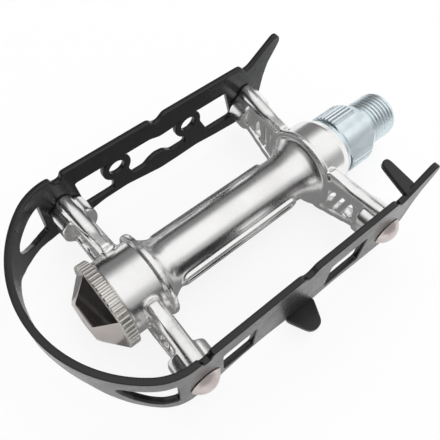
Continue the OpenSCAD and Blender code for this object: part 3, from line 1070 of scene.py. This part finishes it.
@dataclass
class Rivets:
    """The four domed rivets that hold the cage."""

    head_r: float = 4.4
    head_h: float = 2.7
    shank_r: float = 2.0
    plate_y: float = 31.0
    grip: float = 6.8
    height: float = 1.0
    stations: dict[str, float] = field(default_factory=lambda: {"outer": 7.1, "inner": 71.8})

    def outline(self) -> list[Point]:
        """Gives the rivet's outline of radius and height.

        Returns:
            The outline from the crown to the end of the shank.
        """
        dome_r = (self.head_r ** 2 + self.head_h ** 2) / (2 * self.head_h)
        dome = [(dome_r * math.sin(a), self.head_h - dome_r + dome_r * math.cos(a))
                for a in (math.asin(min(1.0, self.head_r / dome_r)) * i / 10 for i in range(11))]
        rim = [(self.head_r, 0.22), (self.head_r - 0.05, 0.06), (self.head_r - 0.2, 0.0)]
        return dome[:-1] + rim + [(self.shank_r, 0.0), (self.shank_r, -self.grip), (0.0, -self.grip)]

    def build(self) -> list[bpy.types.Object]:
        """Builds the rivets and dresses them.

        Returns:
            The four rivets.
        """
        made = []
        for where, x in self.stations.items():
            for side in Side:
                turned = lathe(f"rivet_{where}_{side.name.lower()}", self.outline(), 48)
                out = side.value
                turned.data.transform(Matrix((
                    (0, 0, 1, (x - SHOULDER) * MM), (out, 0, 0, out * self.plate_y * MM),
                    (0, out, 0, self.height * MM), (0, 0, 0, 1))))
                turned.data.update()
                node = f"cage_rivet_{where}_{side.name.lower()}"
                made.append(dress(turned, RIVET.build(), "platform", "rivet_steel", node))
        return made


@dataclass
class Spindle:
    """The plated spindle: shaft and collar from the frame's solid, thread cut in mesh."""

    thread_r: float = 7.145
    pitch: float = 1.27
    depth: float = 0.62
    full: float = 8.6
    length: float = 12.0
    tip_r: float = 4.0
    drill_r: float = 1.2
    drill_depth: float = 1.6
    around: int = 72
    along: int = 132
    hand: int = -1
    flank_slope: float = 2.6
    root_width: float = 0.12
    point_bend: float = 2.2
    run_in: tuple[float, float] = (0.2, 0.8)

    def collar(self) -> bpy.types.Object:
        """Builds the shaft with its collar, up to the crank shoulder.

        Returns:
            The shaft.
        """
        source = copy_of_node("spindle", "spindle_source")
        bm = bmesh.new()
        bm.from_mesh(source.data)
        bmesh.ops.bisect_plane(bm, geom=bm.verts[:] + bm.edges[:] + bm.faces[:], dist=1e-7,
                               plane_co=(0.02 * MM, 0, 0), plane_no=(1, 0, 0), clear_outer=True)
        bm.to_mesh(source.data)
        bm.free()
        made = with_soft_edges(source, "spindle_shaft", width=0.14)
        return dress(made, ZINC.build(), "spindle", "zinc_plated_steel", "spindle")

    def thread_radius(self, x: float, turn: float) -> float:
        """Gives the thread's radius at a station and an angle.

        Args:
            x: Distance from the crank shoulder.
            turn: The angle in radians.

        Returns:
            The radius.
        """
        phase = (x / self.pitch + self.hand * turn / (2 * math.pi)) % 1.0
        flank = min(1.0, max(0.0, (0.5 - abs(phase - 0.5)) * self.flank_slope - self.root_width))
        tip = max(0.0, (x - self.full) / (self.length - self.full))
        limit = self.tip_r + (self.thread_r - self.tip_r) * math.sqrt(max(0.0, 1 - tip ** self.point_bend))
        start = min(1.0, max(0.0, (x - self.run_in[0]) / self.run_in[1]))
        return min(self.thread_r - self.depth * (1 - flank) * start, limit)

    def thread(self) -> bpy.types.Object:
        """Builds the crank thread with its rounded point and centre drilling.

        Returns:
            The thread.
        """
        bm = bmesh.new()
        stations = [self.length * i / self.along for i in range(self.along + 1)]
        turns = turns_of(self.around)
        rows = [spun(bm, x, turns, lambda a, x=x: self.thread_radius(x, a)) for x in stations]
        for r, x in ((self.drill_r + 0.3, self.length), (self.drill_r, self.length - 0.2),
                     (self.drill_r, self.length - self.drill_depth)):
            rows.append(spun(bm, x, turns, lambda _, r=r: r))
        bridged(bm, rows, ends=True)
        made = from_bmesh(bm, "spindle_thread", smooth_angle=60.0)
        return dress(made, ZINC.build(), "spindle", "zinc_plated_steel")

    def build(self) -> list[bpy.types.Object]:
        """Builds both pieces of the spindle."""
        return [self.collar(), self.thread()]


@dataclass
class DustCap:
    """The faceted cap with its serrated ring."""

    rim: float = -1.4
    ring_len: float = 3.2
    ring_r: float = 12.5
    root_r: float = 12.08
    teeth: int = 52
    spigot_r: float = 8.97
    spigot_len: float = 3.0
    facets: int = 5
    base_r: float = 12.3
    end_r: float = 7.0
    nose_len: float = 4.6
    tip_r: float = 5.8
    tip_len: float = 0.8
    turn: float = 65.8
    inset: float = 0.3
    edge: float = 0.35
    gap: float = 0.02
    tooth_share: float = 0.56
    tooth_short: float = 0.12

    def ring(self) -> bpy.types.Object:
        """Builds the ring's core and its spigot.

        Returns:
            The cap's ring.
        """
        rim, back = self.rim - SHOULDER, self.rim + self.ring_len - SHOULDER
        front = rim + self.gap
        outline = [(0.0, front), (self.root_r - self.edge, front), (self.root_r, rim + self.edge),
                   (self.root_r, back - self.inset), (self.root_r - self.inset, back), (self.spigot_r, back),
                   (self.spigot_r, back + self.spigot_len), (0.0, back + self.spigot_len)]
        made = lathe("cap_ring", outline, 104)
        return dress(made, SATIN.build(), "platform", "satin_aluminium", "dust_cap")

    def serrations(self) -> bpy.types.Object:
        """Builds the ring of teeth round the cap.

        Returns:
            The teeth as one piece.
        """
        pitch = 2 * math.pi * self.ring_r / self.teeth
        shape = tooth(self.ring_len - self.tooth_short, pitch * self.tooth_share,
                      self.ring_r - self.root_r - self.gap, self.inset)
        middle = self.rim + self.ring_len / 2 - SHOULDER
        ring = RingOfCopies("cap_serrations", self.teeth, self.root_r, middle)
        return dress(ring.build(shape, SATIN.build()), SATIN.build(), "platform", "satin_aluminium")

    def nose(self) -> bpy.types.Object:
        """Builds the faceted nose, with softly broken edges.

        Returns:
            The nose.
        """
        bm = bmesh.new()
        rows = []
        end = self.rim - self.nose_len
        for r, x in ((self.base_r, self.rim + self.inset), (self.base_r, self.rim), (self.end_r, end),
                     (self.tip_r, end - self.tip_len)):
            rows.append(spun(bm, x - SHOULDER, turns_of(self.facets, self.turn), lambda _, r=r: r))
        bridged(bm, rows, ends=True)
        made = with_soft_edges(from_bmesh(bm, "nose_blank"), "cap_nose", width=0.22, angle=12.0, segments=3)
        return dress(made, MIRROR.build(), "platform", "satin_aluminium")

    def build(self) -> list[bpy.types.Object]:
        """Builds the cap's three pieces."""
        return [self.ring(), self.serrations(), self.nose()]


@dataclass
class Bearings:
    """The two rings of balls and the pieces round them."""

    ball_r: float = 1.5875
    pitch_r: float = 6.2
    count: int = 11
    stations: dict[str, float] = field(default_factory=lambda: {"outer": 7.3, "inner": 74.3})

    def ball(self) -> bpy.types.Object:
        """Makes one ball at the origin.

        Returns:
            The ball.
        """
        bm = bmesh.new()
        bmesh.ops.create_icosphere(bm, subdivisions=3, radius=self.ball_r * MM)
        return from_bmesh(bm, "ball", smooth_angle=60.0)

    def build(self) -> list[bpy.types.Object]:
        """Builds the balls, and dresses the cups, the cone and the covers.

        Returns:
            The two rings of balls.
        """
        made = []
        for where, x in self.stations.items():
            ring = RingOfCopies(f"{where}_ball_ring", self.count, self.pitch_r, x - SHOULDER)
            balls = ring.build(self.ball(), GROUND.build())
            made.append(dress(balls, GROUND.build(), f"{where}_ball_set", "bearing_steel", f"{where}_balls"))
        for node in ("outer_cup", "inner_cup", "outer_cone"):
            dress_node(node, GROUND.build())
        for node in ("lock_washer", "lock_nut", "dust_seal"):
            dress_node(node, ZINC.build())
        return made


# Studio


@dataclass
class Studio:
    """Floor, light and camera."""

    eye: tuple[float, float, float] = (-0.109697, -0.05686, 0.134155)
    right: tuple[float, float, float] = (0.76375, -0.64438, 0.03811)
    up: tuple[float, float, float] = (0.53893, 0.66904, 0.51180)
    back: tuple[float, float, float] = (-0.35529, -0.37035, 0.85826)
    lens: float = 45.94
    floor_z: float = -0.0127
    white_share: float = 0.84
    world_light: float = 0.7

    def camera(self) -> None:
        """Sets the camera where the photograph was taken."""
        data = bpy.data.cameras.new("camera")
        data.sensor_fit = "HORIZONTAL"
        data.sensor_width = 36.0
        data.lens = self.lens
        data.clip_start, data.clip_end = 0.01, 20
        made = bpy.data.objects.new("camera", data)
        columns = [Vector(self.right), Vector(self.up), Vector(self.back)]
        turned = Matrix(columns).transposed().to_4x4()
        made.matrix_world = Matrix.Translation(Vector(self.eye)) @ turned
        bpy.context.scene.collection.objects.link(made)
        bpy.context.scene.camera = made

    def lamp(self, name: str, place: Place, size: Point, power: float, aim: Place = (-0.05, 0, 0)) -> None:
        """Adds a soft lamp of a width and a depth, in metres, that points at a spot.

        Args:
            name: Name of the lamp.
            place: Where it hangs.
            size: Its width and depth.
            power: Its power in watts.
            aim: The spot it points at.
        """
        data = bpy.data.lights.new(name, "AREA")
        data.shape = "RECTANGLE"
        data.size, data.size_y = size
        data.energy = power
        made = bpy.data.objects.new(name, data)
        made.location = place
        made.rotation_euler = (Vector(place) - Vector(aim)).to_track_quat("Z", "Y").to_euler()
        made.visible_glossy = False
        bpy.context.scene.collection.objects.link(made)

    def card(self, name: str, corners: list[Place], low: float, high: float, turn: float = 0.0) -> None:
        """Stands up a grey card that only reflections see.

        Args:
            name: Name of the card.
            corners: Its four corners in metres, the lower two first.
            low: Grey at its foot.
            high: Grey at its top.
            turn: Share of the card's height that stays at the foot's grey.
        """
        bm = bmesh.new()
        bm.faces.new([bm.verts.new(corner) for corner in corners])
        made, material = from_bmesh(bm, name), bpy.data.materials.new(name)
        tree, top = emptied(material), max(corner[2] for corner in corners)
        split = added(tree, "ShaderNodeSeparateXYZ", {0: added(tree, "ShaderNodeTexCoord").outputs["Object"]})
        shade = added(tree, "ShaderNodeMapRange", {
            "From Min": top * turn, "From Max": top, "To Min": low, "To Max": high,
            "Value": split.outputs["Z"]}, interpolation_type="SMOOTHSTEP")
        glow = added(tree, "ShaderNodeEmission", {"Color": shade.outputs["Result"]})
        added(tree, "ShaderNodeOutputMaterial", {"Surface": glow.outputs[0]})
        made.data.materials.append(material)
        made.visible_camera = made.visible_diffuse = made.visible_transmission = made.visible_shadow = False

    def world(self) -> None:
        """Builds the world: soft light, with white shown to the camera."""
        world = bpy.data.worlds.new("studio")
        bpy.context.scene.world = world
        tree = emptied(world)
        path = added(tree, "ShaderNodeLightPath").outputs
        seen = maths(tree, "MAXIMUM", path["Is Camera Ray"], path["Is Glossy Ray"])
        light, white = (added(tree, "ShaderNodeBackground", {"Color": (1, 1, 1, 1), "Strength": strength})
                        for strength in (self.world_light, 1.0))
        mix = added(tree, "ShaderNodeMixShader", {
            "Fac": maths(tree, "MAXIMUM", seen, path["Is Transmission Ray"]), 1: light.outputs[0],
            2: white.outputs[0]})
        added(tree, "ShaderNodeOutputWorld", {"Surface": mix.outputs[0]})

    def floor(self) -> None:
        """Lays a white floor under the pedal that keeps the pedal's shadow."""
        bm = bmesh.new()
        bmesh.ops.create_grid(bm, x_segments=1, y_segments=1, size=3)
        bmesh.ops.translate(bm, verts=bm.verts, vec=(0, 0, self.floor_z))
        made = from_bmesh(bm, "floor")
        material = bpy.data.materials.new("pale_floor")
        tree = emptied(material)
        paint = added(tree, "ShaderNodeBsdfDiffuse", {"Color": (0.92, 0.92, 0.92, 1)})
        white = added(tree, "ShaderNodeEmission", {"Color": (1, 1, 1, 1), "Strength": 1.0})
        seen = added(tree, "ShaderNodeLightPath").outputs["Is Camera Ray"]
        mix = added(tree, "ShaderNodeMixShader", {
            "Fac": maths(tree, "MULTIPLY", seen, self.white_share), 1: paint.outputs[0], 2: white.outputs[0]})
        added(tree, "ShaderNodeOutputMaterial", {"Surface": mix.outputs[0]})
        made.data.materials.append(material)

    def build(self) -> None:
        """Builds the whole studio."""
        bpy.context.scene.view_settings.view_transform = "Standard"
        self.camera()
        self.world()
        self.floor()
        self.lamp("key", (0.12, -0.08, 0.85), (1.2, 0.75), 4.2)
        foot, end = -0.01, -0.8
        for name, y, top, low, turn in (("card_behind", 0.7, 1.6, 0.2, 0.3),
                                        ("card_before", -0.8, 1.15, 0.42, 0.35)):
            self.card(name, [(-2.2, y, foot), (2.0, y, foot), (2.0, y, top), (-2.2, y, top)], low, 1.0, turn)
        self.card("card_at_the_end", [(end, -0.8, foot), (end, 0.7, foot), (end, 0.7, 0.7), (end, -0.8, 0.7)],
                  0.02, 0.5, 0.5)
        # A dark grey sheet just above the floor under the pedal, seen only in reflections: painted shade, so
        # that the cage's inner faces and the casting's undersides reflect a shaded floor there.
        self.card("card_below", [(-0.1, -0.024, -0.0122), (-0.012, -0.024, -0.0122), (-0.012, 0.034, -0.0121),
                                 (-0.1, 0.034, -0.0121)], 0.22, 0.22)


def main() -> None:
    """Builds the pedal piece by piece, then its studio."""
    logging.basicConfig(level=logging.INFO, format="%(name)s: %(message)s")
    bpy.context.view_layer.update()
    Casting().build()
    Cage().build()
    Rivets().build()
    Spindle().build()
    DustCap().build()
    Bearings().build()
    Studio().build()


if __name__ == "__main__":
    main()
